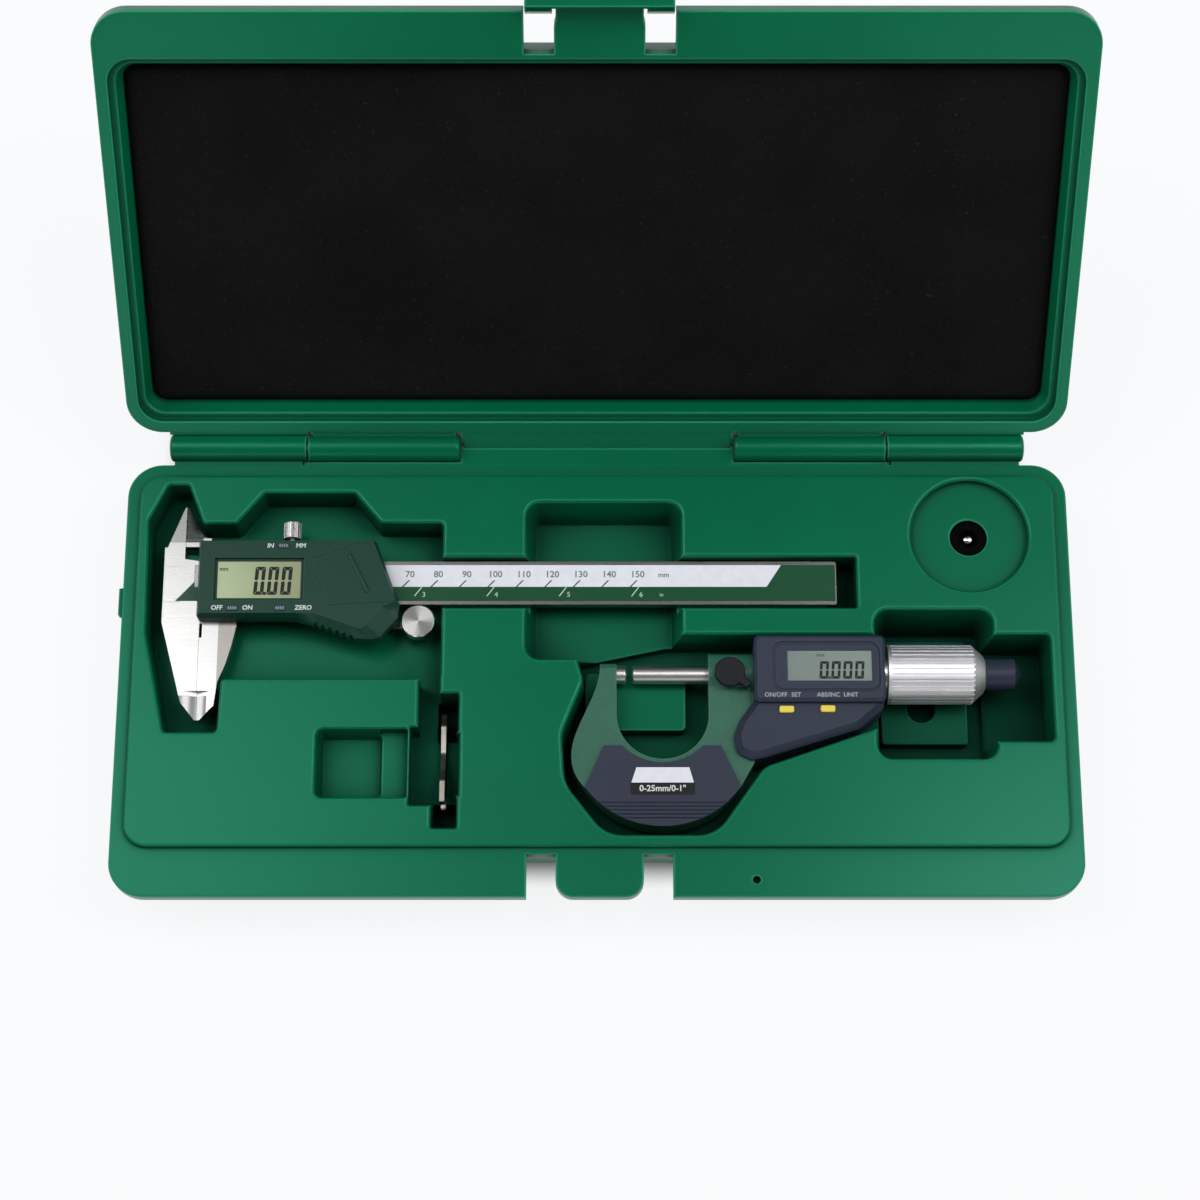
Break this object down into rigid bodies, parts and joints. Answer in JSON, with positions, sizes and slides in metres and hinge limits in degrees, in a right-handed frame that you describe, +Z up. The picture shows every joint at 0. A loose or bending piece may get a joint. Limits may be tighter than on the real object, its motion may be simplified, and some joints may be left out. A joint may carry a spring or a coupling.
{
  "type": "measuring tool case",
  "caption": "Hinged plastic case with a latch, holding a digital caliper, a digital outside micrometer, a spanner and a ball attachment.",
  "frame": {"origin": "middle of the case's outline on the face it stands on", "axes": "+X along the case to the right, +Y to the hinges, +Z up"},
  "size_m": [0.3336, 0.2783, 0.1652],
  "materials": {
    "green_case": "satin",
    "black_foam": "matte",
    "pin_steel": "satin",
    "tool_steel": "satin",
    "green_scale": "satin",
    "dark_green_shell": "satin",
    "lcd_glass": "gloss",
    "dark_button": "satin",
    "painted_frame": "satin",
    "slate_plastic": "satin",
    "black_label": "satin",
    "satin_chrome": "satin",
    "circuit_plastic": "satin",
    "satin_aluminium": "satin",
    "yellow_button": "satin",
    "dark_steel": "satin",
    "black_rubber": "matte",
    "polished_ball": "polished"
  },
  "bodies": {
    "case_base": {"base_tray": "green_case", "hinge_pins": "pin_steel"},
    "lid": {"lid_shell": "green_case", "lid_foam": "black_foam", "clasp_pin": "pin_steel"},
    "clasp": {"latch_clasp": "green_case"},
    "caliper": {"caliper_beam": "tool_steel", "caliper_scale": "green_scale"},
    "caliper_carriage": {"caliper_slider": "tool_steel", "caliper_housing": "dark_green_shell", "caliper_display": "lcd_glass", "caliper_battery": "pin_steel", "caliper_depth_rod": "tool_steel"},
    "caliper_cover": {"caliper_battery_cover": "dark_green_shell"},
    "caliper_roller": {"caliper_thumb_roller": "tool_steel"},
    "caliper_lock": {"caliper_lock_screw": "tool_steel"},
    "unit_button": {"caliper_unit_button": "dark_button"},
    "power_button": {"caliper_power_button": "dark_button"},
    "zero_button": {"caliper_zero_button": "dark_button"},
    "micrometer": {"micrometer_frame": "painted_frame", "micrometer_anvil": "tool_steel", "micrometer_grip_plates": "slate_plastic", "micrometer_label": "black_label", "micrometer_housing": "slate_plastic", "micrometer_display": "lcd_glass", "micrometer_sleeve": "satin_chrome", "micrometer_battery": "pin_steel"},
    "encoder": {"encoder_rotor": "circuit_plastic"},
    "spindle": {"micrometer_spindle": "tool_steel", "micrometer_thimble": "satin_aluminium"},
    "ratchet": {"micrometer_ratchet": "slate_plastic"},
    "lock_lever": {"micrometer_lock_lever": "dark_button"},
    "left_button": {"micrometer_left_button": "yellow_button"},
    "right_button": {"micrometer_right_button": "yellow_button"},
    "battery_cap": {"micrometer_battery_cap": "slate_plastic"},
    "sleeve_spanner": {"spanner": "dark_steel"},
    "ball_attachment": {"ball_holder": "black_rubber", "attachment_ball": "polished_ball"}
  },
  "joints": [
    {"name": "lid_hinge", "type": "hinge", "parent": "case_base", "child": "lid", "pos_m": [0, 0.0845, 0.028], "axis": [-1, 0, 0], "range_deg": [-130, 50]},
    {"name": "clasp_hinge", "type": "hinge", "parent": "lid", "child": "clasp", "pos_m": [0.001, 0.1926, 0.15138], "axis": [-1, 0, 0], "range_deg": [-40, 80]},
    {"name": "caliper_lift", "type": "slide", "parent": "case_base", "child": "caliper", "axis": [0, 0, 1], "range_m": [0, 0.12]},
    {"name": "caliper_slide", "type": "slide", "parent": "caliper", "child": "caliper_carriage", "axis": [1, 0, 0], "range_m": [0, 0.0015]},
    {"name": "caliper_roller_turn", "type": "hinge", "parent": "caliper_carriage", "child": "caliper_roller", "pos_m": [-0.0625, 0.0203, 0.0262], "axis": [0, 0, 1], "range_deg": [0, 14.6]},
    {"name": "caliper_lock_turn", "type": "hinge", "parent": "caliper_carriage", "child": "caliper_lock", "pos_m": [-0.1076, 0.05355, 0.02525], "axis": [0, 1, 0], "range_deg": [-180, 180]},
    {"name": "caliper_cover_slide", "type": "slide", "parent": "caliper_carriage", "child": "caliper_cover", "axis": [0.9397, 0.342, 0], "range_m": [0, 0.012]},
    {"name": "unit_button_push", "type": "slide", "parent": "caliper_carriage", "child": "unit_button", "axis": [0, 0, -1], "range_m": [0, 0.0004], "stiffness_N_per_m": 400},
    {"name": "power_button_push", "type": "slide", "parent": "caliper_carriage", "child": "power_button", "axis": [0, 0, -1], "range_m": [0, 0.0004], "stiffness_N_per_m": 400},
    {"name": "zero_button_push", "type": "slide", "parent": "caliper_carriage", "child": "zero_button", "axis": [0, 0, -1], "range_m": [0, 0.0004], "stiffness_N_per_m": 400},
    {"name": "micrometer_lift", "type": "slide", "parent": "case_base", "child": "micrometer", "axis": [0, 0, 1], "range_m": [0, 0.12]},
    {"name": "thimble_turn", "type": "hinge", "parent": "micrometer", "child": "encoder", "pos_m": [0.0611, 0.0022, 0.0215], "axis": [1, 0, 0], "range_deg": [-1585, 6625]},
    {"name": "spindle_travel", "type": "slide", "parent": "encoder", "child": "spindle", "axis": [1, 0, 0], "range_m": [-0.0022, 0.0092]},
    {"name": "ratchet_turn", "type": "hinge", "parent": "spindle", "child": "ratchet", "pos_m": [0.1351, 0.0022, 0.0215], "axis": [1, 0, 0], "continuous": true},
    {"name": "lock_lever_turn", "type": "hinge", "parent": "micrometer", "child": "lock_lever", "pos_m": [0.0461, 0.0007, 0.029], "axis": [0, 0, 1], "range_deg": [-60, 0]},
    {"name": "left_button_push", "type": "slide", "parent": "micrometer", "child": "left_button", "axis": [0, 0, -1], "range_m": [0, 0.0005], "stiffness_N_per_m": 400},
    {"name": "right_button_push", "type": "slide", "parent": "micrometer", "child": "right_button", "axis": [0, 0, -1], "range_m": [0, 0.0005], "stiffness_N_per_m": 400},
    {"name": "battery_cap_turn", "type": "hinge", "parent": "micrometer", "child": "battery_cap", "pos_m": [0.0716, 0.003, 0.0105], "axis": [0, 0, -1], "range_deg": [0, 60]},
    {"name": "spanner_lift", "type": "slide", "parent": "case_base", "child": "sleeve_spanner", "axis": [0, 0, 1], "range_m": [0, 0.08]},
    {"name": "ball_lift", "type": "slide", "parent": "case_base", "child": "ball_attachment", "axis": [0, 0, 1], "range_m": [0, 0.08]}
  ],
  "couplings": [
    {"joint": "caliper_roller_turn", "follows": "caliper_slide", "rad_per_m": 169.49},
    {"joint": "thimble_turn", "follows": "spindle_travel", "rad_per_m": 12566}
  ]
}
